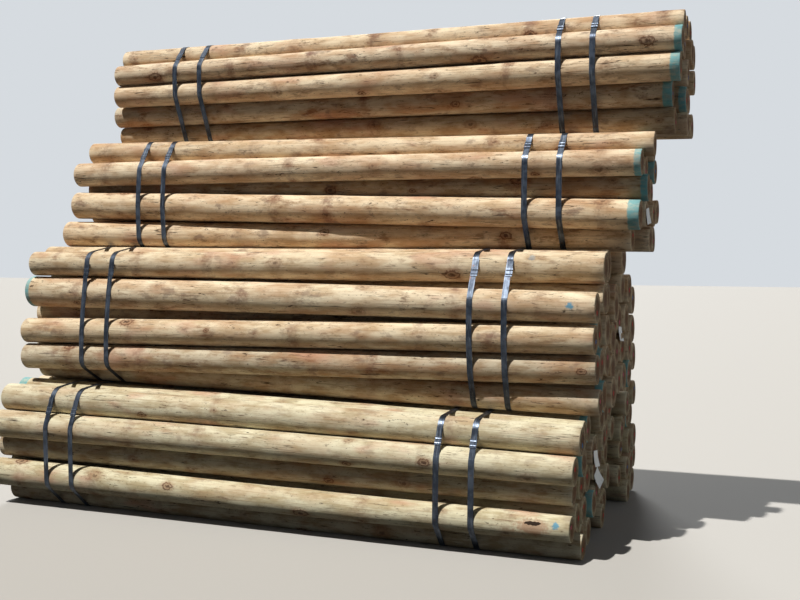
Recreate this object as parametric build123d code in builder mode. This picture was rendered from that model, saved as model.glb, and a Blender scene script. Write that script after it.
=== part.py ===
from build123d import *
import math
import os
import random

# A yard stack of peeled pine poles, strapped in bundles of 17 and piled four tiers high.
# All sizes are in millimetres. X runs along the poles, Y goes back into the stack and Z is up.

pole_length = 3600.0
pole_sides = 20  # flats round a pole, a multiple of 4 so that poles meet alike sideways and upwards
pole_gap = 0.8  # left between the poles of one bundle
size_spread = 5.0  # most that a hidden pole's diameter differs from its bundle's
ragged_end = 22.0  # most that a hidden pole's end stands in or out of line

strap_width = 32.0
strap_thickness = 1.0
strap_slack = 0.3  # left between a strap and the poles inside it
bundle_gap = strap_slack + strap_thickness + 0.5  # between bundles that touch, where a strap is
floor_gap = strap_slack + strap_thickness  # the lowest straps lie flat on the ground

left_strap_pair = (415.0, 595.0)  # from the left end of a bundle
right_strap_pair = (710.0, 520.0)  # from the right end of a bundle
strap_lane = 46.0  # straps of bundles that touch are this far apart along the poles


# How each tier's bundles are made up, with the rows from the bottom up:
# rows: poles in each row, spread: space between poles that lie side by side,
# front: how far the first pole of each row stands behind the bundle's front, at its left and right ends,
# seen: that pole's diameters at its left and right ends and how far its right end sticks out,
# left and right: mean diameter of the other poles at each end.
tiers = {
    1: dict(
        rows=(3, 4, 3, 4, 3),
        spread=2.0,
        front=((106, 60), (-17, -26), (61, 64), (-23, -15), (43, 53)),
        seen=((154, 137, 30), (170, 136, -12), (153, 143, -20), (173, 151, 0), (169, 155, 20)),
        left=159.0,
        right=151.0,
    ),
    2: dict(
        rows=(3, 4, 4, 4, 2),
        spread=3.0,
        front=((135, 83), (-20, 41), (-9, 12), (26, 10), (42, 137)),
        seen=((156, 145, 10), (161, 160, 0), (159, 160, -8), (196, 165, 0), (156, 171, 20)),
        left=175.0,
        right=175.0,
    ),
    3: dict(
        rows=(3, 4, 3, 4, 3),
        spread=22.0,
        front=((-34, 114), (-23, -6), (118, 69), (-1, -1), (89, 102)),
        seen=((167, 148, -62), (174, 163, -5), (134, 149, 26), (154, 145, 0), (141, 134, 54)),
        left=142.0,
        right=141.0,
    ),
    4: dict(
        rows=(3, 3, 4, 4, 3),
        spread=20.0,
        front=((121, 119), (70, 85), (5, -3), (3, 2), (90, 99)),
        seen=((131, 146, -46), (137, 149, -58), (141, 159, -10), (134, 142, 0), (134, 132, 0)),
        left=135.0,
        right=141.0,
    ),
}

# Each bundle: its tier, how far right of the lowest tier it lies, how far back its front stands,
# or None where it is pushed against the bundle before it, which lane its straps keep to,
# and the seed of its hidden poles' sizes.
bundles = {
    "bundle_1_front": dict(tier=1, shift=0.0, setback=0.0, lane=0, seed=18),
    "bundle_1_middle": dict(tier=1, shift=-18.0, setback=None, lane=2, seed=31),
    "bundle_1_back": dict(tier=1, shift=24.0, setback=None, lane=0, seed=32),
    "bundle_2_front": dict(tier=2, shift=60.0, setback=200.0, lane=1, seed=19),
    "bundle_2_back": dict(tier=2, shift=38.0, setback=None, lane=3, seed=33),
    "bundle_3": dict(tier=3, shift=240.0, setback=490.0, lane=2, seed=20),
    "bundle_4": dict(tier=4, shift=420.0, setback=690.0, lane=1, seed=21),
}


class Pole:
    """A tapered pole, kept as the circles (y, z, radius) that it makes at its bundle's two ends."""

    def __init__(self, left, right, shift, out):
        self.left = left
        self.right = right
        self.shift = shift
        self.start = shift + out

    def circle(self, x):
        share = (x - self.shift) / pole_length
        return tuple(a + (b - a) * share for a, b in zip(self.left, self.right))

    def move(self, axis, left_by, right_by):
        self.left = tuple(v + left_by * (i == axis) for i, v in enumerate(self.left))
        self.right = tuple(v + right_by * (i == axis) for i, v in enumerate(self.right))


def corners(circle, slack):
    """The corners of a pole's flat-sided outline, standing this far off it, to a millionth of a mm."""
    y, z, radius = circle
    size = radius + slack
    turns = [2 * math.pi * side / pole_sides for side in range(pole_sides)]
    return [(round(y + size * math.cos(t), 6), round(z + size * math.sin(t), 6)) for t in turns]


def band(poles, x, slack, half_width=0.0):
    """The tightest outline round the poles at x, standing this far off them."""
    points = []
    for pole in poles:
        for edge in (x - half_width, x + half_width):
            points += corners(pole.circle(edge), slack)

    def bends_in(a, b, c):
        return (b[0] - a[0]) * (c[1] - a[1]) - (b[1] - a[1]) * (c[0] - a[0]) < 1.0

    outline = []
    for run in (sorted(points), sorted(points, reverse=True)):
        half = []
        for point in run:
            while len(half) > 1 and bends_in(half[-2], half[-1], point):
                half.pop()
            half.append(point)
        outline += half[:-1]
    return outline


def reach(outline, axis, place):
    """The least and greatest Y (axis 0) or Z (axis 1) of an outline, at a place across it."""
    found = []
    for a, b in zip(outline, outline[1:] + outline[:1]):
        low, high = sorted((a[1 - axis], b[1 - axis]))
        if low <= place <= high:
            share = (place - a[1 - axis]) / (b[1 - axis] - a[1 - axis]) if high > low else 0.0
            found.append(a[axis] + share * (b[axis] - a[axis]))
    return (min(found), max(found)) if found else None


def push(outline, others, axis):
    """How far an outline must move along an axis to just touch the others from beyond them."""
    pushes = []
    for other in others:
        for place in [corner[1 - axis] for corner in outline + other]:
            mine, theirs = reach(outline, axis, place), reach(other, axis, place)
            if mine and theirs:
                pushes.append(theirs[1] - mine[0])
    return max(pushes, default=0.0)


def settle(group, others, axis, places, level=False):
    """Move a group of poles until its outline is clear of other groups' at these places.

    A place is where it lies along X, the gap to leave there, and half the width over which to
    leave it, because a strap crosses poles that slope. The group moves as far as its first and last
    place need, or alike at both if it is to stay level, and then on if a place between needs more.
    """
    first, last, start = min(places), max(places), group[0].shift

    def needed(place):
        x, gap, half_width = place
        outlines = [band(other, x, 0.0, half_width) for other in others]
        return push(band(group, x, gap, half_width), outlines, axis)

    first_by, last_by = needed(first), needed(last)
    if level:
        first_by = last_by = max(first_by, last_by)
    slope = (last_by - first_by) / (last[0] - first[0])
    left_by = first_by + slope * (start - first[0])
    right_by = left_by + slope * pole_length
    for pole in group:
        pole.move(axis, left_by, right_by)
    more = max(0.0, *[needed(place) for place in places])
    for pole in group:
        pole.move(axis, more, more)


def lay_bundle(tier, shift, dice):
    """Lay one bundle's poles row by row, each let down on what lies below it."""
    poles = []
    beyond = max(ragged_end, *[abs(out) for left_size, right_size, out in tier["seen"]])
    step = (pole_length + 2 * beyond) / 18
    stations = [(shift - beyond + step * number, pole_gap, 0.0) for number in range(19)]
    for count, front, (left_size, right_size, out) in zip(tier["rows"], tier["front"], tier["seen"]):
        left_y, right_y = front
        below = [[pole] for pole in poles]
        for place in range(count):
            if place > 0:
                size = dice.uniform(-size_spread, size_spread)
                tilt = dice.uniform(-size_spread, size_spread)
                left_size = tier["left"] + size + tilt
                right_size = tier["right"] + size - tilt
                out = dice.uniform(-ragged_end, ragged_end)
            left = (left_y + left_size / 2, left_size / 2, left_size / 2)
            right = (right_y + right_size / 2, right_size / 2, right_size / 2)
            pole = Pole(left, right, shift, out)
            if below:
                settle([pole], below, 1, stations)
            poles.append(pole)
            left_y += left_size + tier["spread"]
            right_y += right_size + tier["spread"]
    return poles


def strap_places(bundle):
    """Where along X the four straps of a bundle lie."""
    left = bundle["shift"] + strap_lane * bundle["lane"]
    right = left + pole_length
    return [left + x for x in left_strap_pair] + [right - x for x in right_strap_pair]


def pile_up():
    """Lay every bundle, let it down on the tier below and push it against the one before it."""
    piled = {}
    for name, bundle in bundles.items():
        poles = lay_bundle(tiers[bundle["tier"]], bundle["shift"], random.Random(bundle["seed"]))
        below = [n for n in piled if bundles[n]["tier"] == bundle["tier"] - 1]
        beside = [n for n in piled if bundles[n]["tier"] == bundle["tier"]]
        for pole in poles:
            pole.move(0, bundle["setback"] or 0.0, bundle["setback"] or 0.0)
            pole.move(1, floor_gap, floor_gap)
        for turn in range(3):
            for axis, near in ((1, below), (0, beside)):
                if near:
                    straps = [x for n in near + [name] for x in strap_places(bundles[n])]
                    places = [(x, bundle_gap, strap_width / 2) for x in straps]
                    ends = bundle["shift"] - ragged_end, bundle["shift"] + pole_length + ragged_end
                    places += [(x, pole_gap, 0.0) for x in ends]
                    settle(poles, [piled[n] for n in near], axis, places, level=axis == 0)
        piled[name] = poles
    return piled


def strap_line(poles, x, thickness):
    """The inner or, with its thickness, the outer line of a strap."""
    return band(poles, x, strap_slack + thickness, strap_width / 2)


def middle(piled):
    """The middle of the whole stack along X and Y."""
    xs, ys = [], []
    for name, poles in piled.items():
        for pole in poles:
            for x in (pole.start, pole.start + pole_length):
                y, z, radius = pole.circle(x)
                xs.append(x)
                ys += [y - radius, y + radius]
        for x in strap_places(bundles[name]):
            ys += [y for y, z in strap_line(poles, x, strap_thickness)]
    return (min(xs) + max(xs)) / 2, (min(ys) + max(ys)) / 2


def across(x):
    """The plane across the poles at x, with the stack's own middle as its origin."""
    return Plane(origin=(x - middle_x, -middle_y, 0), x_dir=(0, 1, 0), z_dir=(1, 0, 0))


os.makedirs("parts", exist_ok=True)
piled = pile_up()
middle_x, middle_y = middle(piled)

for name, bundle in bundles.items():
    with BuildPart() as poles:
        for pole in piled[name]:
            for x in (pole.start, pole.start + pole_length):
                y, z, radius = pole.circle(x)
                with BuildSketch(across(x)):
                    with Locations((y, z)):
                        RegularPolygon(radius, pole_sides)
            loft(ruled=True, clean=False)
    poles.part.label = name + "_poles"
    export_step(poles.part, "parts/" + name + "_poles.step")

    with BuildPart() as straps:
        for x in strap_places(bundle):
            with BuildSketch(across(x)):
                with BuildLine():
                    Polyline(*strap_line(piled[name], x, strap_thickness), close=True)
                make_face()
                with BuildLine():
                    Polyline(*strap_line(piled[name], x, 0.0), close=True)
                make_face(mode=Mode.SUBTRACT)
            extrude(amount=strap_width / 2, both=True, clean=False)
    straps.part.label = name + "_straps"
    export_step(straps.part, "parts/" + name + "_straps.step")
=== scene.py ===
import math
import random

import bmesh
import bpy
import numpy as np
from mathutils import Matrix, Vector


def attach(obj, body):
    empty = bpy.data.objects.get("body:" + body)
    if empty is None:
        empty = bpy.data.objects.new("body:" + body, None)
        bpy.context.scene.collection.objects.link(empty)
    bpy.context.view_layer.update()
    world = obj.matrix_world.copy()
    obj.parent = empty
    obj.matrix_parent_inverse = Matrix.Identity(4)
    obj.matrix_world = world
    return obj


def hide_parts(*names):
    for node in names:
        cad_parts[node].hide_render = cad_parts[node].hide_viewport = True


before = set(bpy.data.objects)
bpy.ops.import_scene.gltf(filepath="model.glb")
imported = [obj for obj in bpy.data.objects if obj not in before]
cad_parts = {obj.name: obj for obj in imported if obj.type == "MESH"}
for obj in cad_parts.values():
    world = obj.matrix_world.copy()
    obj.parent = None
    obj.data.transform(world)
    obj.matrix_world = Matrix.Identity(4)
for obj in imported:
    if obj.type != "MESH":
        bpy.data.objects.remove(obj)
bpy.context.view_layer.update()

# A stack of peeled pine poles in strapped bundles. Lengths are in metres, in the CAD's own frame.

# Each bundle's rows of poles, from the bottom up.
BUNDLES = {
    "bundle_1_front": (3, 4, 3, 4, 3),
    "bundle_1_middle": (3, 4, 3, 4, 3),
    "bundle_1_back": (3, 4, 3, 4, 3),
    "bundle_2_front": (3, 4, 4, 4, 2),
    "bundle_2_back": (3, 4, 4, 4, 2),
    "bundle_3": (3, 4, 3, 4, 3),
    "bundle_4": (3, 3, 4, 4, 3),
}

# The shape of a pole
SIDES = 36  # round a pole
ROWS = 72  # along a pole
SKIN_BAND = 0.045  # outermost ring of a sawn face, as a share of its radius, finished as the side is
FACE_RINGS = (0.2, 0.3)  # rings inside that one
CHAMFER = 0.004  # how far a sawn face's edge is worn back
UNEVEN = ((1, 0.004), (2, 0.005), (3, 0.004), (5, 0.002))  # dips round a pole, and half their depth
SKIN_INSET = 0.0006  # from the CAD's pole in to the skin, where that is even
SKIN_PROUD = 0.0008  # most that a knot's swelling stands out of the CAD's pole
GROUND_GAP = 0.0008  # least height of a pole's skin
BOW = 0.004  # most that a pole bows between its straps
WOBBLE = 0.0012
STRAP_HOLD = (0.02, 0.2)  # a pole keeps its line up to this far from a strap, and bends freely past that
HELD_UNEVEN = 0.35  # how much of its dips a pole keeps under a strap
SAW_SLANT = 0.02  # most that a sawn face is out of square
DOT_REACH = 0.35  # most that a dot on a sawn face is off its middle, as a share of the radius
DOT_KINDS = (0, 0, 1, 1, 2, 3)  # 0 is none, 1 red, 2 pink and 3 blue
WHORL_SPACING = (0.34, 0.62)
WHORL_STAINS = (0.0, 0.3, 0.6, 1.0)
KNOT_SIZES = (0.006, 0.017)
KNOT_SWELLING = 0.0035
SWELLING_SPREAD = (0.07, 0.03)  # along a pole and round it
KNOT_REACH = (0.11, 0.05)  # how far along a pole and round it a knot colours the wood

# Straps and tags
STRAP_WIDTH = 0.032
STRAP_THICKNESS = 0.0011
STRAP_SLACK = 0.0004  # from the poles to a strap
SEAL = (0.037, 0.048, 0.0042)  # across the strap, along it, outwards
SEAL_RISE = 0.0012  # of a seal's middle over the band
CRIMPS = (0.2, 0.32)  # where a seal is crimped, from its middle, as shares of its length
CRIMPED_WIDTH = 0.82
CRIMP_RIDGE = 0.0012
TAIL_RISE = 0.0016
TAIL_LENGTHS = (0.05, 0.085)
TAIL_LIFTS = (0.001, 0.006)  # of a tail's tip off the band
TAG = (0.11, 0.085)  # width and height
TAG_THICKNESS = 0.0005
TAG_GAP = 0.004  # from the sawn face to a tag's top
TAG_TWIST = 0.05

# Tags: the pole's bundle, row and place, and how far the tag's top is above the middle of its end
# and behind it, how it is turned, and how far it curls off.
TAGGED = {
    ("bundle_1_middle", 3, 1): (-0.02, 0.02, 0.3, 0.03),
    ("bundle_2_back", 3, 2): (-0.05, 0.0, -0.1, 0.015),
    ("bundle_3", 2, 2): (0.03, 0.0, 0.12, 0.01),
    ("bundle_1_front", 4, 4): (0.0, 0.01, -0.14, 0.015),
}

# Painted ends that show in front: bundle, row from the bottom, place from the front: end and width.
PAINTED = {
    ("bundle_1_front", 5, 2): ("left", 0.06),
    ("bundle_2_front", 4, 1): ("left", 0.03),
    ("bundle_3", 4, 1): ("right", 0.035),
    ("bundle_3", 3, 1): ("right", 0.035),
    ("bundle_3", 2, 1): ("right", 0.06),
    ("bundle_4", 4, 1): ("right", 0.04),
    ("bundle_4", 3, 1): ("right", 0.05),
    ("bundle_4", 2, 1): ("right", 0.05),
}
PAINT_BEHIND = (0.0,) * 7 + (0.04,)  # the widths that right ends behind the front draw from

# Marks on the sides that show: how far from the right end, the turn round the pole from the back,
# and how strong a blue dot is, up to 1, or 2 for a dark scar with a blue dot beside it.
MARKED = {
    ("bundle_1_front", 2, 1): (0.185, math.radians(155), 2),
    ("bundle_2_front", 4, 1): (0.13, math.radians(172), 1),
    ("bundle_2_front", 5, 1): (0.38, math.radians(140), 0.3),
}
NO_MARK = (9.0, 0.0, 0)


def srgb(red, green, blue):
    """A colour as a screen shows it, 0 to 255, as the linear values that the shaders take."""
    return tuple(
        v / 12.92 if v <= 0.04045 else ((v + 0.055) / 1.055) ** 2.4
        for v in (red / 255, green / 255, blue / 255)
    )


# Peeled wood of each tier, from the ground up: treated and weathered low down, warmer above.
WOOD = {
    "1": [(208, 202, 170), (202, 197, 162), (211, 202, 172), (200, 195, 164)],
    "2": [(232, 210, 174), (236, 216, 182), (226, 204, 168), (232, 212, 178)],
    "3": [(240, 214, 178), (236, 208, 170), (242, 218, 184), (232, 202, 164)],
    "4": [(242, 216, 180), (236, 206, 166), (244, 220, 188), (234, 202, 160)],
}
STAINED = {"1": 0.6, "2": 0.85, "3": 0.95, "4": 1.05}  # how much of each tier's wood is stained
STAIN_SPREAD = (0.8, 1.2)
# Front poles in recesses and under overhangs, their wood darkened as painted shade, by bundle, row from the
# bottom and place from the front.
SHADE_PAINTED_POLES = {
    ("bundle_1_front", 1, 1),
    ("bundle_1_front", 3, 1),
    ("bundle_2_front", 1, 1),
    ("bundle_2_front", 2, 1),
    ("bundle_3", 3, 1),
    ("bundle_4", 1, 1),
    ("bundle_4", 2, 1),
}
# How far the painted shade darkens those poles' wood.
PAINTED_SHADE_FACTOR = 0.58

# Colours of a pole's side
DARK_MOTTLE, PALE_MOTTLE = srgb(158, 122, 84), srgb(246, 236, 210)
FIBRE = srgb(142, 102, 66)
BROWN_STAIN, PINK_STAIN, GREY_STAIN = srgb(176, 124, 82), srgb(194, 142, 118), srgb(118, 92, 82)
DEEP_STAIN = srgb(124, 80, 50)
STREAK, BARK, FLECK = srgb(92, 60, 40), srgb(58, 36, 26), srgb(80, 54, 40)
WHORL_BAND = srgb(124, 84, 70)
KNOT_HALO, KNOT_RING, KNOT_HEART = srgb(150, 100, 66), srgb(92, 58, 42), srgb(72, 48, 38)
DRYING_CRACK = srgb(48, 30, 20)
SCORCH, SCAR = srgb(168, 112, 84), srgb(28, 20, 16)
BLUE_DOT, TEAL_PAINT = srgb(70, 152, 186), srgb(88, 172, 182)

# Colours of a sawn face
HEARTWOOD, SAPWOOD, YEAR_RING = srgb(116, 84, 58), srgb(150, 118, 80), srgb(88, 58, 38)
SAWN_DIRT, PALE_RIM, SAWN_CRACK = srgb(78, 62, 50), srgb(214, 192, 148), srgb(40, 28, 20)
DOT_RED, DOT_PINK, DOT_BLUE = srgb(196, 44, 52), srgb(208, 92, 120), srgb(58, 120, 176)

# Colours of the steel and the tags
DARK_STEEL, BLUE_STEEL, SCUFFED_STEEL = srgb(44, 50, 60), srgb(72, 80, 92), srgb(120, 128, 138)
RUST = srgb(84, 54, 38)
CARD, CARD_GRIME = srgb(232, 233, 230), srgb(168, 164, 154)

# Surroundings: as they are lit and light the stack, and as they are seen
FLOOR_IN_LIGHT, FLOOR_SEEN = srgb(44, 43, 42), srgb(180, 177, 172)
SKY_IN_LIGHT, BACKDROP_SEEN = (0.85, 0.92, 1.0), srgb(214, 219, 224)
SKY_LIGHT = 0.03


# Reading the CAD's poles and straps


def solids_of(node):
    """The points of each solid in a CAD node, as one array a solid."""
    copy = bmesh.new()
    copy.from_mesh(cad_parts[node].data)
    bmesh.ops.remove_doubles(copy, verts=copy.verts, dist=1e-5)
    left = set(copy.verts)
    found = []
    while left:
        reached = [left.pop()]
        for vert in reached:
            for edge in vert.link_edges:
                other = edge.other_vert(vert)
                if other in left:
                    left.discard(other)
                    reached.append(other)
        found.append(np.array([v.co[:] for v in reached]))
    copy.free()
    return found


class Pole:
    """A pole as the CAD has it: the middle and the radius of its two ends."""

    def __init__(self, points):
        ends = []
        for x in (points[:, 0].min(), points[:, 0].max()):
            ring = points[np.abs(points[:, 0] - x) < 0.001]
            centre = ring.mean(0)
            ends.append((centre, np.linalg.norm(ring - centre, axis=1).max()))
        (self.left, self.left_radius), (self.right, self.right_radius) = ends
        self.length = self.right[0] - self.left[0]

    def at(self, x):
        """Its middle (y, z) and radius at x."""
        share = (x - self.left[0]) / self.length
        middle_y = self.left[1] + (self.right[1] - self.left[1]) * share
        middle_z = self.left[2] + (self.right[2] - self.left[2]) * share
        return middle_y, middle_z, self.left_radius + (self.right_radius - self.left_radius) * share


def read_bundle(name):
    """A bundle's poles by row and by place from the front, and where its straps lie along X."""
    upwards = sorted((Pole(p) for p in solids_of(name + "_poles")), key=lambda p: p.left[2] + p.right[2])
    poles = {}
    for row, count in enumerate(BUNDLES[name], 1):
        side_by_side = sorted(upwards[:count], key=lambda p: p.left[1] + p.right[1])
        del upwards[:count]
        for place, pole in enumerate(side_by_side, 1):
            poles[row, place] = pole
    straps = sorted(float(p[:, 0].min() + p[:, 0].max()) / 2 for p in solids_of(name + "_straps"))
    return poles, straps


# Poles


def blank_pole():
    """A round bar of unit length and radius along X, with rows for its bends and rings in its ends."""
    bar = bmesh.new()
    bmesh.ops.create_cone(bar, cap_ends=True, segments=SIDES, radius1=1, radius2=1, depth=1)
    bmesh.ops.rotate(bar, verts=bar.verts, cent=(0, 0, 0), matrix=Matrix.Rotation(math.pi / 2, 3, "Y"))
    long_edges = [e for e in bar.edges if abs(e.verts[0].co.x - e.verts[1].co.x) > 0.5]
    bmesh.ops.subdivide_edges(bar, edges=long_edges, cuts=ROWS - 1, use_grid_fill=True)
    for face in sawn_faces(bar):
        bmesh.ops.inset_individual(bar, faces=[face], thickness=SKIN_BAND, depth=0)
    for face in sawn_faces(bar):
        for inset in FACE_RINGS:
            bmesh.ops.inset_individual(bar, faces=[face], thickness=inset, depth=0)
    bmesh.ops.poke(bar, faces=sawn_faces(bar))
    for face in bar.faces:
        inside_skin = max(math.hypot(v.co.y, v.co.z) for v in face.verts) < 0.97
        face.material_index = 1 if inside_skin else 0
        face.smooth = True
    mesh = bpy.data.meshes.new("blank_pole")
    bar.to_mesh(mesh)
    bar.free()
    return mesh


def sawn_faces(bar):
    """The many-sided faces in the middle of a bar's two ends."""
    return [f for f in bar.faces if len(f.verts) > 4]


def whorls(dice, length):
    """Where a pole's knots are, along it and round it, their size and how dark they are.

    The second list has where the whorls are that they grow in, and how stained the wood is there.
    """
    knots, places = [], []
    along = dice.uniform(0.05, 0.4)
    while along < length - 0.05:
        turn = dice.uniform(0, 2 * math.pi)
        count = dice.choice((2, 3, 3, 4))
        for place in range(count):
            around = turn + 2 * math.pi * place / count + dice.uniform(-0.25, 0.25)
            strength = dice.choice((0.25, 0.4, 0.55, 0.75, 1.0))
            knots.append((along + dice.uniform(-0.02, 0.02), around, dice.uniform(*KNOT_SIZES), strength))
        places.append((along, dice.choice(WHORL_STAINS)))
        along += dice.uniform(*WHORL_SPACING)
    return knots, places


def smooth_step(low, high, value):
    t = np.clip((value - low) / (high - low), 0, 1)
    return t * t * (3 - 2 * t)


def short_way(turn):
    """A turn brought to within half a circle of none."""
    return (turn + math.pi) % (2 * math.pi) - math.pi


def dips(turn, part, dice):
    """How far a pole's skin dips for its flats and hollows, as a share of its radius."""
    total = np.zeros(len(turn))
    for turns, depth in UNEVEN:
        waves, phase = dice.uniform(0.4, 2.5), dice.uniform(0, 6.28)
        total += depth * (1 + np.cos(turns * turn + phase + waves * 6.28 * part))
    return total


def round_knots(knots, along, turn, radius):
    """How far the skin swells at each point, and where the nearest knot is, along and round the pole.

    The second result is in that knot's own sizes, with how dark it is as its third number.
    """
    swell = np.zeros(len(along))
    nearest = np.full(len(along), 9.0)
    from_knot = np.zeros((len(along), 3))
    for knot_at, knot_turn, size, strength in knots:
        off_along = along - knot_at
        off_around = short_way(turn - knot_turn) * radius
        away = np.hypot(off_along, off_around)
        spread = -((off_along / SWELLING_SPREAD[0]) ** 2) - (off_around / SWELLING_SPREAD[1]) ** 2
        swell += KNOT_SWELLING * np.exp(spread)
        close_by = (np.abs(off_along) < KNOT_REACH[0]) & (np.abs(off_around) < KNOT_REACH[1])
        here = np.stack([off_along / size, off_around / size, close_by * strength], 1)
        from_knot = np.where((away < nearest)[:, None], here, from_knot)
        nearest = np.minimum(nearest, away)
    return swell, from_knot


def shape_pole(blank, pole, straps, tone, stained, paint, mark, dice):
    """A mesh of one pole: the blank bar laid where the CAD's pole is, with bends, flats and knots."""
    mesh = blank.copy()
    count = len(mesh.vertices)
    points = np.empty(count * 3)
    mesh.vertices.foreach_get("co", points)
    points = points.reshape(-1, 3)
    share = points[:, 0] + 0.5
    across = np.hypot(points[:, 1], points[:, 2])
    turn = np.arctan2(points[:, 2], points[:, 1])
    side, up = across * np.cos(turn), across * np.sin(turn)
    along = share * pole.length
    rim = (across > 0.99) & ((share < 0.001) | (share > 0.999))
    along = np.where(rim, np.clip(along, CHAMFER, pole.length - CHAMFER), along)

    x = pole.left[0] + along
    part = along / pole.length
    middle_y, middle_z, radius = pole.at(x)
    free = np.ones(count)
    for strap in straps:
        free *= smooth_step(*STRAP_HOLD, np.abs(x - strap))
    uneven = dips(turn, part, dice)
    knots, places = whorls(dice, pole.length)
    swell, from_knot = round_knots(knots, along, turn, radius)
    uneven *= HELD_UNEVEN + (1 - HELD_UNEVEN) * free
    skin = radius * (1 - uneven) + swell * free - SKIN_INSET
    skin = np.minimum(skin, radius + SKIN_PROUD)
    bow_y, bow_z = dice.uniform(-BOW, BOW), dice.uniform(-BOW, BOW)
    between_straps = np.clip((part - 0.14) / 0.72, -0.2, 1.2)
    bend = free * np.sin(np.pi * between_straps)
    wobble = free * np.sin(part * dice.uniform(9, 15) + dice.uniform(0, 6))
    y = middle_y + skin * side + bow_y * bend + WOBBLE * wobble
    z = np.maximum(middle_z + skin * up + bow_z * bend, GROUND_GAP)
    slant = dice.uniform(-SAW_SLANT, SAW_SLANT), dice.uniform(-SAW_SLANT, SAW_SLANT)
    lean = (side * slant[0] + up * slant[1]) * radius
    x = x + lean * (smooth_step(0.02, 0.0, part) + smooth_step(0.98, 1.0, part))
    mesh.vertices.foreach_set("co", np.stack([x, y, z], 1).astype(np.float32).ravel())

    seed = dice.uniform(0, 40)
    keep(mesh, "grain", along + seed, radius * side, radius * up + seed)
    keep(mesh, "knot", *from_knot.T)
    keep(mesh, "tone", *tone)
    away = np.abs(along[:, None] - np.array([place for place, darkness in places])[None, :])
    darkness = np.array([darkness for place, darkness in places])[away.argmin(1)]
    keep(mesh, "whorl", away.min(1), darkness, darkness)
    painted_end, painted_width = paint
    keep(mesh, "paint", along if painted_end == "left" else pole.length - along, painted_width, stained)
    keep(mesh, "face", side, up, seed)
    mark_from_end, mark_turn, mark_kind = mark
    mark_around = short_way(turn - mark_turn) * radius
    keep(mesh, "mark", along - pole.length + mark_from_end, mark_around, mark_kind)
    dot_side, dot_up = dice.uniform(-DOT_REACH, DOT_REACH), dice.uniform(-DOT_REACH, DOT_REACH)
    keep(mesh, "dot", dot_side, dot_up, dice.choice(DOT_KINDS) * (part > 0.5))
    return mesh


def keep(mesh, name, *values):
    """Store three numbers a point on a mesh, for its materials. A single number goes to every point."""
    columns = [np.broadcast_to(value, len(mesh.vertices)) for value in values]
    layer = mesh.attributes.new(name, "FLOAT_VECTOR", "POINT")
    layer.data.foreach_set("vector", np.stack(columns, 1).astype(np.float32).ravel())


def place_in_scene(name, mesh):
    made = bpy.data.objects.new(name, mesh)
    bpy.context.scene.collection.objects.link(made)
    return made


def join(name, meshes):
    """One object from several meshes that share their materials and attributes."""
    objects = [place_in_scene(name, mesh) for mesh in meshes]
    with bpy.context.temp_override(active_object=objects[0], selected_editable_objects=objects):
        bpy.ops.object.join()
    return objects[0]


def finished(name, bm):
    """The object of a bmesh that is done."""
    mesh = bpy.data.meshes.new(name)
    bm.to_mesh(mesh)
    bm.free()
    return place_in_scene(name, mesh)


# Straps


def strap_band(bm, poles, x):
    """A steel band drawn tight round a bundle at x. Gives the place for its seal."""
    ring = bmesh.new()
    for pole in poles:
        for edge in (x - STRAP_WIDTH / 2, x + STRAP_WIDTH / 2):
            y, z, radius = pole.at(edge)
            place = Matrix.Translation((edge, y, z)) @ Matrix.Rotation(math.pi / 2, 4, "Y")
            bmesh.ops.create_circle(ring, segments=64, radius=radius + STRAP_SLACK, matrix=place)
    hull = bmesh.ops.convex_hull(ring, input=ring.verts)
    inside = {v for v in hull["geom_interior"] + hull["geom_unused"] if isinstance(v, bmesh.types.BMVert)}
    bmesh.ops.delete(ring, geom=list(inside), context="VERTS")
    ring.normal_update()
    sides = [f for f in ring.faces if abs(f.normal.x) > 0.8]
    bmesh.ops.delete(ring, geom=sides, context="FACES")
    bmesh.ops.dissolve_limit(ring, angle_limit=0.02, verts=ring.verts, edges=ring.edges)
    bmesh.ops.recalc_face_normals(ring, faces=ring.faces)
    centre = sum((v.co for v in ring.verts), Vector()) / len(ring.verts)
    if sum((f.calc_center_median() - centre).dot(f.normal) for f in ring.faces) < 0:
        bmesh.ops.reverse_faces(ring, faces=ring.faces)
    ring.normal_update()
    spot = seal_spot(ring)
    bmesh.ops.solidify(ring, geom=ring.faces[:], thickness=-STRAP_THICKNESS)
    bmesh.ops.recalc_face_normals(ring, faces=ring.faces)
    pour(bm, ring)
    return spot


def seal_spot(ring):
    """The middle of a straight run of a band, high on its front, and the way outwards there."""
    best = None
    for face in ring.faces:
        middle, outwards = face.calc_center_median(), face.normal.copy()
        length = 2 * max(math.hypot(v.co.y - middle.y, v.co.z - middle.z) for v in face.verts)
        if length > 0.1 and outwards.y < -0.5 and (best is None or middle.z > best[0].z):
            best = (middle + outwards * STRAP_THICKNESS, outwards)
    return best


def lay_on(bm, piece, spot):
    """Add a flat piece, made with X across the strap, Y along it and Z outwards, at its place on a band."""
    middle, outwards = spot
    along = outwards.cross(Vector((1, 0, 0))).normalized()
    turn = Matrix((Vector((1, 0, 0)), along, outwards)).transposed().to_4x4()
    piece.transform(Matrix.Translation(middle) @ turn)
    pour(bm, piece)


def pour(bm, piece):
    """Add one mesh being built to another, and end it."""
    mesh = bpy.data.meshes.new("piece")
    piece.to_mesh(mesh)
    piece.free()
    bm.from_mesh(mesh)


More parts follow.
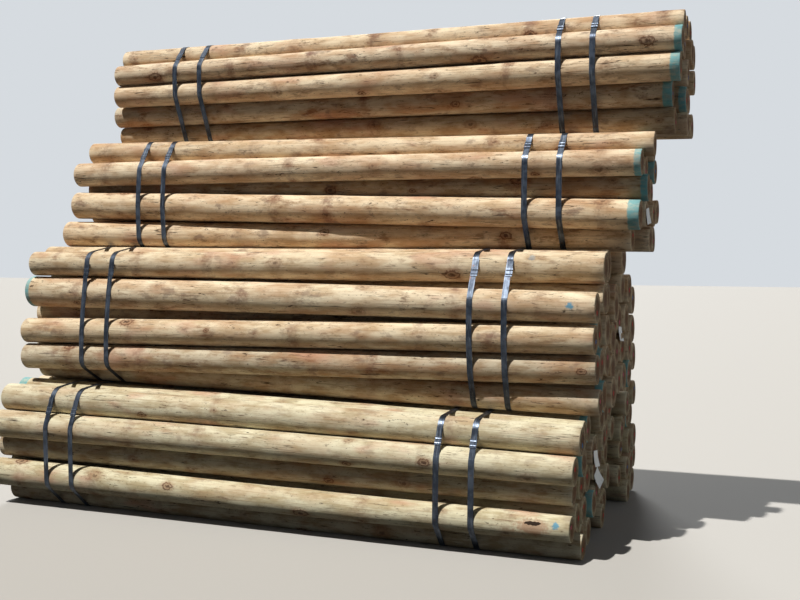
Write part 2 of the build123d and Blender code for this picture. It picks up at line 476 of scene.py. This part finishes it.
def add_seal(bm, spot):
    """A crimped sleeve over the strap's lap."""
    seal = bmesh.new()
    bmesh.ops.create_cube(seal, size=1, matrix=Matrix.Diagonal((*SEAL, 1)))
    long_edges = [e for e in seal.edges if abs(e.verts[0].co.y - e.verts[1].co.y) > SEAL[1] / 2]
    bmesh.ops.subdivide_edges(seal, edges=long_edges, cuts=11, use_grid_fill=True)
    for vert in seal.verts:
        if CRIMPS[0] < abs(vert.co.y / SEAL[1]) < CRIMPS[1]:
            vert.co.x *= CRIMPED_WIDTH
            vert.co.z += CRIMP_RIDGE if vert.co.z > 0 else 0
    bmesh.ops.translate(seal, verts=seal.verts, vec=(0, 0, SEAL_RISE))
    lay_on(bm, seal, spot)


def add_tail(bm, spot, length, lift):
    """The end of the strap past its seal, lying on the band and lifting off towards its tip."""
    tail = bmesh.new()
    bmesh.ops.create_grid(tail, x_segments=1, y_segments=8, size=0.5)
    for vert in tail.verts:
        share = vert.co.y + 0.5
        vert.co = Vector((vert.co.x * STRAP_WIDTH, share * length, TAIL_RISE + lift * share ** 2))
    bmesh.ops.solidify(tail, geom=tail.faces[:], thickness=STRAP_THICKNESS)
    lay_on(bm, tail, spot)


def strap_set(name, poles, straps, dice):
    """All the straps of a bundle, with their seals and tails."""
    bm = bmesh.new()
    for x in straps:
        spot = strap_band(bm, poles, x)
        if spot:
            add_seal(bm, spot)
            add_tail(bm, spot, dice.uniform(*TAIL_LENGTHS), dice.uniform(*TAIL_LIFTS))
    return finished(name + "_straps_look", bm)


# Tags


def add_tag(bm, pole, lift, back, turn, curl):
    """A blank tag stapled to a pole's right end, hanging down and curling off it."""
    tag = bmesh.new()
    bmesh.ops.create_grid(tag, x_segments=6, y_segments=9, size=0.5)
    for vert in tag.verts:
        across, down = vert.co.x * TAG[0], (0.5 - vert.co.y) * TAG[1]
        off = TAG_GAP + curl * (down / TAG[1]) ** 1.6 + TAG_TWIST * across * down / TAG[1]
        vert.co = Vector((off, across, -down))
    bmesh.ops.solidify(tag, geom=tag.faces[:], thickness=TAG_THICKNESS)
    place = Matrix.Translation(pole.right + np.array((0, back, lift)))
    tag.transform(place @ Matrix.Rotation(turn, 4, "X"))
    pour(bm, tag)


# Building materials from nodes


def add(tree, kind, inputs=None, **settings):
    """A new node with its settings made and its inputs set or joined."""
    made = tree.nodes.new(kind)
    for name, value in settings.items():
        setattr(made, name, value)
    for name, value in (inputs or {}).items():
        fill(tree, made.inputs[name], value)
    return made


def fill(tree, socket, value):
    """Join another node's output to a socket, or set it to a plain value."""
    if isinstance(value, bpy.types.NodeSocket):
        tree.links.new(value, socket)
    else:
        socket.default_value = value


def math_of(tree, operation, a, b=0.0):
    return add(tree, "ShaderNodeMath", {0: a, 1: b}, operation=operation).outputs[0]


def plus(tree, a, b):
    return math_of(tree, "ADD", a, b)


def minus(tree, a, b):
    return math_of(tree, "SUBTRACT", a, b)


def times(tree, *values):
    product = values[0]
    for value in values[1:]:
        product = math_of(tree, "MULTIPLY", product, value)
    return product


def off_from(tree, value, target):
    """How far a value is from another, either way."""
    return math_of(tree, "ABSOLUTE", minus(tree, value, target))


def is_over(tree, value, limit):
    return math_of(tree, "GREATER_THAN", value, limit)


def length_of(tree, a, b):
    squares = math_of(tree, "POWER", a, 2.0), math_of(tree, "POWER", b, 2.0)
    return math_of(tree, "SQRT", plus(tree, *squares))


def fade(tree, value, low, high):
    """0 below low, 1 above high, smooth between, or the other way round where low is over high."""
    ends = {"From Min": min(low, high), "From Max": max(low, high)}
    ends["To Min"], ends["To Max"] = float(low > high), float(low < high)
    made = add(tree, "ShaderNodeMapRange", {"Value": value, **ends}, interpolation_type="SMOOTHSTEP")
    return made.outputs[0]


def mix(tree, share, a, b):
    """Colour a turned into colour b, by a share."""
    made = add(tree, "ShaderNodeMix", data_type="RGBA")
    fill(tree, made.inputs[0], share)
    for index, colour in ((6, a), (7, b)):
        is_socket = isinstance(colour, bpy.types.NodeSocket)
        fill(tree, made.inputs[index], colour if is_socket else (*colour, 1))
    return made.outputs[2]


def noise(tree, vector, scale, detail=3.0, roughness=0.55):
    inputs = {"Vector": vector, "Scale": scale, "Detail": detail, "Roughness": roughness}
    return add(tree, "ShaderNodeTexNoise", inputs).outputs[0]


def waver(tree, place, scale):
    """A fine noise either side of none, that makes outlines ragged."""
    return minus(tree, noise(tree, place, scale, 2.0), 0.5)


def stretched(tree, vector, scale):
    return add(tree, "ShaderNodeVectorMath", {0: vector, 1: scale}, operation="MULTIPLY").outputs[0]


def attribute(tree, name):
    """The three numbers kept for a point, one by one and together."""
    whole = add(tree, "ShaderNodeAttribute", attribute_name=name).outputs["Vector"]
    return [*add(tree, "ShaderNodeSeparateXYZ", {0: whole}).outputs, whole]


def patch_group():
    """Irregular patches with soft edges: stains, bark, rust and dirt are all made with this."""
    group = bpy.data.node_groups.new("irregular_patches", "ShaderNodeTree")
    for name in ("Place", "Stretch"):
        group.interface.new_socket(name, in_out="INPUT", socket_type="NodeSocketVector")
    for name in ("Detail", "Roughness", "Low", "High", "Amount"):
        group.interface.new_socket(name, in_out="INPUT", socket_type="NodeSocketFloat")
    group.interface.new_socket("Mask", in_out="OUTPUT", socket_type="NodeSocketFloat")
    start, end = add(group, "NodeGroupInput").outputs, add(group, "NodeGroupOutput")
    place = stretched(group, start["Place"], start["Stretch"])
    value = noise(group, place, 1.0, start["Detail"], start["Roughness"])
    limits = {"Value": value, "From Min": start["Low"], "From Max": start["High"]}
    mask = add(group, "ShaderNodeMapRange", limits, interpolation_type="SMOOTHSTEP").outputs[0]
    group.links.new(times(group, mask, start["Amount"]), end.inputs["Mask"])
    return group


PATCHES = patch_group()


def patches(tree, place, stretch, low, high, amount, detail=4.0, roughness=0.62):
    """A mask of irregular patches: where the noise is over high it has the whole amount."""
    values = {"Place": place, "Stretch": stretch, "Low": low, "High": high}
    values.update({"Amount": amount, "Detail": detail, "Roughness": roughness})
    made = add(tree, "ShaderNodeGroup", node_tree=PATCHES)
    for name, value in values.items():
        fill(tree, made.inputs[name], value)
    return made.outputs["Mask"]


def new_material(name):
    material = bpy.data.materials.new(name)
    material.use_nodes = True
    return material, material.node_tree, material.node_tree.nodes["Principled BSDF"]


def finish_wood(tree, shader, colour, roughness, height, strength, distance):
    """Dull wood of a colour, with a relief."""
    tree.links.new(colour, shader.inputs["Base Color"])
    shader.inputs["Roughness"].default_value = roughness
    shader.inputs["Specular IOR Level"].default_value = 0.12
    bump = add(tree, "ShaderNodeBump", {"Strength": strength, "Distance": distance, "Height": height})
    tree.links.new(bump.outputs[0], shader.inputs["Normal"])


# Materials


def stained_wood(tree, grain, tone, stained):
    """The colour of peeled, mottled and stained wood with bark left on it, and its fibre and bark."""
    mottle = patches(tree, grain, (5.0, 15.0, 15.0), 0.34, 0.62, 1.0)
    colour = mix(tree, mottle, mix(tree, 0.4, tone, DARK_MOTTLE), mix(tree, 0.4, tone, PALE_MOTTLE))
    fibre = patches(tree, grain, (3.0, 120.0, 120.0), 0.46, 0.78, 0.45)
    colour = mix(tree, fibre, colour, FIBRE)
    brown = patches(tree, grain, (2.2, 7.0, 7.0), 0.46, 0.66, 0.5, 3.0)
    colour = mix(tree, times(tree, brown, stained), colour, BROWN_STAIN)
    pink = patches(tree, grain, (2.4, 6.0, 6.0), 0.56, 0.72, 0.5, 2.0)
    colour = mix(tree, pink, colour, PINK_STAIN)
    grey = patches(tree, grain, (8.0, 15.0, 15.0), 0.56, 0.68, 0.55, 5.0)
    colour = mix(tree, times(tree, grey, stained), colour, GREY_STAIN)
    deep = patches(tree, grain, (6.0, 19.0, 19.0), 0.53, 0.68, 0.62, 6.0, 0.74)
    colour = mix(tree, times(tree, deep, stained), colour, DEEP_STAIN)
    clusters = patches(tree, grain, (2.6, 8.0, 8.0), 0.42, 0.62, 1.0, 2.0)
    streaks = patches(tree, grain, (9.0, 70.0, 70.0), 0.57, 0.68, 0.75, 5.0, 0.7)
    colour = mix(tree, times(tree, streaks, clusters), colour, STREAK)
    bark = patches(tree, grain, (17.0, 52.0, 52.0), 0.61, 0.67, 0.9, 5.0, 0.72)
    colour = mix(tree, times(tree, bark, clusters), colour, BARK)
    flecks = patches(tree, grain, (46.0, 120.0, 120.0), 0.62, 0.7, 0.7, 3.0, 0.7)
    colour = mix(tree, flecks, colour, FLECK)
    return colour, fibre, bark


def with_whorls(tree, colour, grain, ragged, stained):
    """A colour with a browner band at each whorl, and with the knots. Gives the knots' rings too."""
    off_whorl, darkness, _, _ = attribute(tree, "whorl")
    off_whorl = plus(tree, off_whorl, times(tree, ragged, 0.08))
    torn = patches(tree, grain, (12.0, 13.0, 13.0), 0.36, 0.6, 0.6)
    band = times(tree, fade(tree, off_whorl, 0.055, 0.01), torn, darkness, stained)
    colour = mix(tree, band, colour, WHORL_BAND)

    along, around, strength, _ = attribute(tree, "knot")
    from_knot = length_of(tree, times(tree, along, 0.6), around)
    from_knot = plus(tree, from_knot, times(tree, ragged, 1.9))
    halo = times(tree, fade(tree, from_knot, 3.4, 1.0), strength)
    clear_ring = math_of(tree, "POWER", strength, 4.0)
    ring = times(tree, fade(tree, off_from(tree, from_knot, 1.5), 0.5, 0.05), clear_ring)
    heart = times(tree, fade(tree, from_knot, 0.95, 0.3), strength)
    colour = mix(tree, times(tree, halo, 0.5), colour, KNOT_HALO)
    colour = mix(tree, times(tree, ring, 0.7), colour, KNOT_RING)
    return mix(tree, times(tree, heart, 0.8), colour, KNOT_HEART), ring


def with_marks(tree, colour, ragged):
    """A colour with the scar and the blue dots of the marked poles. Gives the scar too."""
    along, around, kind, _ = attribute(tree, "mark")
    has_scar = is_over(tree, kind, 1.5)
    off_scar = length_of(tree, times(tree, along, 22.0), times(tree, around, 90.0))
    off_scar = plus(tree, off_scar, times(tree, ragged, 0.9))
    scar = times(tree, fade(tree, off_scar, 1.0, 0.85), has_scar, 0.95)
    below = minus(tree, around, 0.02)
    off_scorch = length_of(tree, times(tree, along, 11.0), times(tree, below, 20.0))
    off_scorch = plus(tree, off_scorch, times(tree, ragged, 1.2))
    scorch = times(tree, fade(tree, off_scorch, 1.2, 0.5), has_scar, 0.6)
    colour = mix(tree, scorch, colour, SCORCH)
    colour = mix(tree, scar, colour, SCAR)
    dot_along = minus(tree, along, times(tree, has_scar, 0.115))
    off_dot = plus(tree, length_of(tree, dot_along, around), times(tree, ragged, 0.04))
    dot = times(tree, fade(tree, off_dot, 0.024, 0.01), math_of(tree, "MINIMUM", kind, 0.8))
    return mix(tree, dot, colour, BLUE_DOT), scar


def pole_side():
    """Peeled pine: stained wood with knots, drying cracks, marks, and paint at some ends."""
    material, tree, shader = new_material("peeled_pine")
    grain = attribute(tree, "grain")[3]
    tone = attribute(tree, "tone")[3]
    from_end, paint_width, stained, _ = attribute(tree, "paint")
    ragged = waver(tree, grain, 70.0)
    colour, fibre, bark = stained_wood(tree, grain, tone, stained)
    colour, ring = with_whorls(tree, colour, grain, ragged, stained)

    cracks = noise(tree, stretched(tree, grain, (2.0, 50.0, 50.0)), 1.0, 1.0, 0.4)
    line = fade(tree, off_from(tree, cracks, 0.5), 0.010, 0.004)
    split = times(tree, line, patches(tree, grain, (3.0, 9.0, 9.0), 0.5, 0.6, 0.85, 2.0))
    colour = mix(tree, split, colour, DRYING_CRACK)
    colour, scar = with_marks(tree, colour, ragged)

    past_paint = minus(tree, plus(tree, from_end, times(tree, ragged, 0.014)), paint_width)
    painted = times(tree, fade(tree, past_paint, 0.004, -0.004), is_over(tree, paint_width, 0.001))
    worn = minus(tree, 0.8, patches(tree, grain, (20.0, 34.0, 34.0), 0.4, 0.75, 0.4))
    colour = mix(tree, times(tree, painted, worn), colour, TEAL_PAINT)

    height = plus(tree, times(tree, fibre, 0.6), times(tree, bark, 0.6))
    height = minus(tree, height, times(tree, split, 1.2))
    height = plus(tree, height, times(tree, ring, 0.5))
    height = minus(tree, height, scar)
    finish_wood(tree, shader, colour, 0.8, height, 0.5, 0.004)
    return material


def pole_end():
    """A sawn face: year rings, cracks from the heart, a paler rim, dirt and a dot of paint on some."""
    material, tree, shader = new_material("sawn_pole_end")
    side, up, seed, face = attribute(tree, "face")
    tone = attribute(tree, "tone")[3]
    centre = length_of(tree, side, up)
    ring = plus(tree, centre, times(tree, noise(tree, face, 2.5, 2.0), 0.14))
    rings = math_of(tree, "SINE", times(tree, ring, 62.0))
    spokes = {0: times(tree, math_of(tree, "ARCTAN2", up, side), 5.0), 1: times(tree, centre, 0.6), 2: seed}
    spokes = add(tree, "ShaderNodeCombineXYZ", spokes).outputs[0]
    cracks = fade(tree, off_from(tree, noise(tree, spokes, 2.0, 1.0), 0.5), 0.02, 0.008)
    colour = mix(tree, fade(tree, centre, 0.35, 0.85), HEARTWOOD, mix(tree, 0.55, tone, SAPWOOD))
    colour = mix(tree, times(tree, fade(tree, rings, -0.2, 0.9), 0.45), colour, YEAR_RING)
    colour = mix(tree, patches(tree, face, (3.0, 3.0, 3.0), 0.4, 0.72, 0.85, 5.0), colour, SAWN_DIRT)
    colour = mix(tree, times(tree, fade(tree, centre, 0.9, 0.97), 0.5), colour, PALE_RIM)
    colour = mix(tree, times(tree, cracks, 0.8), colour, SAWN_CRACK)

    dot_side, dot_up, dot_kind, _ = attribute(tree, "dot")
    off_dot = length_of(tree, minus(tree, side, dot_side), minus(tree, up, dot_up))
    off_dot = plus(tree, off_dot, times(tree, waver(tree, face, 9.0), 0.16))
    dot = times(tree, fade(tree, off_dot, 0.2, 0.14), is_over(tree, dot_kind, 0.5), 0.9)
    paint = mix(tree, is_over(tree, dot_kind, 1.5), DOT_RED, DOT_PINK)
    paint = mix(tree, is_over(tree, dot_kind, 2.5), paint, DOT_BLUE)
    colour = mix(tree, dot, colour, paint)
    finish_wood(tree, shader, colour, 0.85, minus(tree, times(tree, rings, 0.3), cracks), 0.4, 0.003)
    return material


def strap_steel():
    """Blued strap steel, scuffed bright along its length in places, with a little rust."""
    material, tree, shader = new_material("blued_strap_steel")
    place = add(tree, "ShaderNodeTexCoord").outputs["Object"]
    blued = patches(tree, place, (18.0, 18.0, 18.0), 0.38, 0.66, 1.0)
    colour = mix(tree, blued, DARK_STEEL, BLUE_STEEL)
    scuffed = patches(tree, place, (160.0, 9.0, 9.0), 0.55, 0.7, 0.6, 3.0)
    colour = mix(tree, scuffed, colour, SCUFFED_STEEL)
    rusty = patches(tree, place, (34.0, 34.0, 34.0), 0.6, 0.72, 0.7, 5.0, 0.7)
    tree.links.new(mix(tree, rusty, colour, RUST), shader.inputs["Base Color"])
    shader.inputs["Metallic"].default_value = 0.85
    dulled = patches(tree, place, (220.0, 12.0, 12.0), 0.3, 0.7, 0.2, 3.0)
    tree.links.new(plus(tree, 0.27, dulled), shader.inputs["Roughness"])
    return material


def tag_card():
    """Coated white card, blank, a little grimy."""
    material, tree, shader = new_material("blank_tag")
    place = add(tree, "ShaderNodeTexCoord").outputs["Object"]
    grime = patches(tree, place, (22.0, 22.0, 22.0), 0.5, 0.75, 0.5, 5.0)
    tree.links.new(mix(tree, grime, CARD, CARD_GRIME), shader.inputs["Base Color"])
    shader.inputs["Roughness"].default_value = 0.45
    return material


# The stack

blank = blank_pole()
blank.materials.append(pole_side())
blank.materials.append(pole_end())
steel = strap_steel()
tags = bmesh.new()

for number, name in enumerate(BUNDLES):
    poles, straps = read_bundle(name)
    tier = name.split("_")[1]
    meshes = []
    for index, (spot, pole) in enumerate(poles.items()):
        dice = random.Random(1000 * number + index)
        # Painted shade: the poles that sit in recesses or under overhangs get a darker tone, on their sides
        # and their sawn ends.
        painted_shade = PAINTED_SHADE_FACTOR if (name, *spot) in SHADE_PAINTED_POLES else 1.0
        tone = [painted_shade * part for part in srgb(*dice.choice(WOOD[tier]))]
        paint = PAINTED.get((name, *spot))
        if paint is None:
            paint = "right", dice.choice(PAINT_BEHIND) * (spot[1] > 1)
        mark = MARKED.get((name, *spot), NO_MARK)
        stained = STAINED[tier] * dice.uniform(*STAIN_SPREAD)
        meshes.append(shape_pole(blank, pole, straps, tone, stained, paint, mark, dice))
    logs = join(name + "_logs", meshes)
    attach(logs, "root")
    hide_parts(name + "_poles")
    bands = strap_set(name, list(poles.values()), straps, random.Random(500 + number))
    bands.data.materials.append(steel)
    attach(bands, "root")
    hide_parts(name + "_straps")
    for spot, hang in TAGGED.items():
        if spot[0] == name:
            add_tag(tags, poles[spot[1:]], *hang)

tag_piece = finished("tags", tags)
tag_piece.data.materials.append(tag_card())
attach(tag_piece, "root")


# Floor, light and camera


def seen_directly(tree):
    """1 where a ray comes from the camera, or from it by way of metal or glass."""
    rays = add(tree, "ShaderNodeLightPath").outputs
    glossy = math_of(tree, "MAXIMUM", rays["Is Glossy Ray"], rays["Is Transmission Ray"])
    return math_of(tree, "MAXIMUM", rays["Is Camera Ray"], glossy)


def floor():
    bm = bmesh.new()
    bmesh.ops.create_grid(bm, x_segments=1, y_segments=1, size=40)
    made = finished("floor", bm)
    material, tree, shader = new_material("pale_floor")
    colour = mix(tree, seen_directly(tree), FLOOR_IN_LIGHT, FLOOR_SEEN)
    tree.links.new(colour, shader.inputs["Base Color"])
    shader.inputs["Roughness"].default_value = 0.9
    made.data.materials.append(material)


def sun(name, strength, softness, direction, colour):
    lamp = bpy.data.lights.new(name, "SUN")
    lamp.energy = strength
    lamp.angle = math.radians(softness)
    lamp.color = colour
    made = place_in_scene(name, lamp)
    made.rotation_euler = Vector(direction).to_track_quat("-Z", "Y").to_euler()


def light():
    world = bpy.data.worlds.new("studio")
    world.use_nodes = True
    tree = world.node_tree
    sky = tree.nodes["Background"]
    colour = mix(tree, seen_directly(tree), SKY_IN_LIGHT, BACKDROP_SEEN)
    tree.links.new(colour, sky.inputs["Color"])
    strength = plus(tree, SKY_LIGHT, times(tree, seen_directly(tree), 1 - SKY_LIGHT))
    tree.links.new(strength, sky.inputs["Strength"])
    bpy.context.scene.world = world
    sun("key", 4.4, 1.0, (0.3, 0.42, -1.0), (1.0, 0.98, 0.94))
    sun("behind", 1.7, 20, (0.35, -1.0, -0.55), (0.94, 0.97, 1.0))
    sun("right", 0.45, 20, (-1.0, 0.1, -0.15), (0.94, 0.97, 1.0))


def camera():
    """A camera at eye height, in front of the stack and past its right end, looking left and down."""
    lens = bpy.data.cameras.new("camera")
    lens.sensor_width = 36.0
    lens.lens = 46.5
    view = place_in_scene("camera", lens)
    pitch = math.radians(2.8)
    direction = Vector((-0.358 * math.cos(pitch), 0.9336 * math.cos(pitch), -math.sin(pitch)))
    view.location = (2.6077, -5.9697, 1.57)
    view.rotation_euler = direction.to_track_quat("-Z", "Y").to_euler()
    bpy.context.scene.camera = view


floor()
light()
camera()
bpy.context.scene.view_settings.view_transform = "Standard"
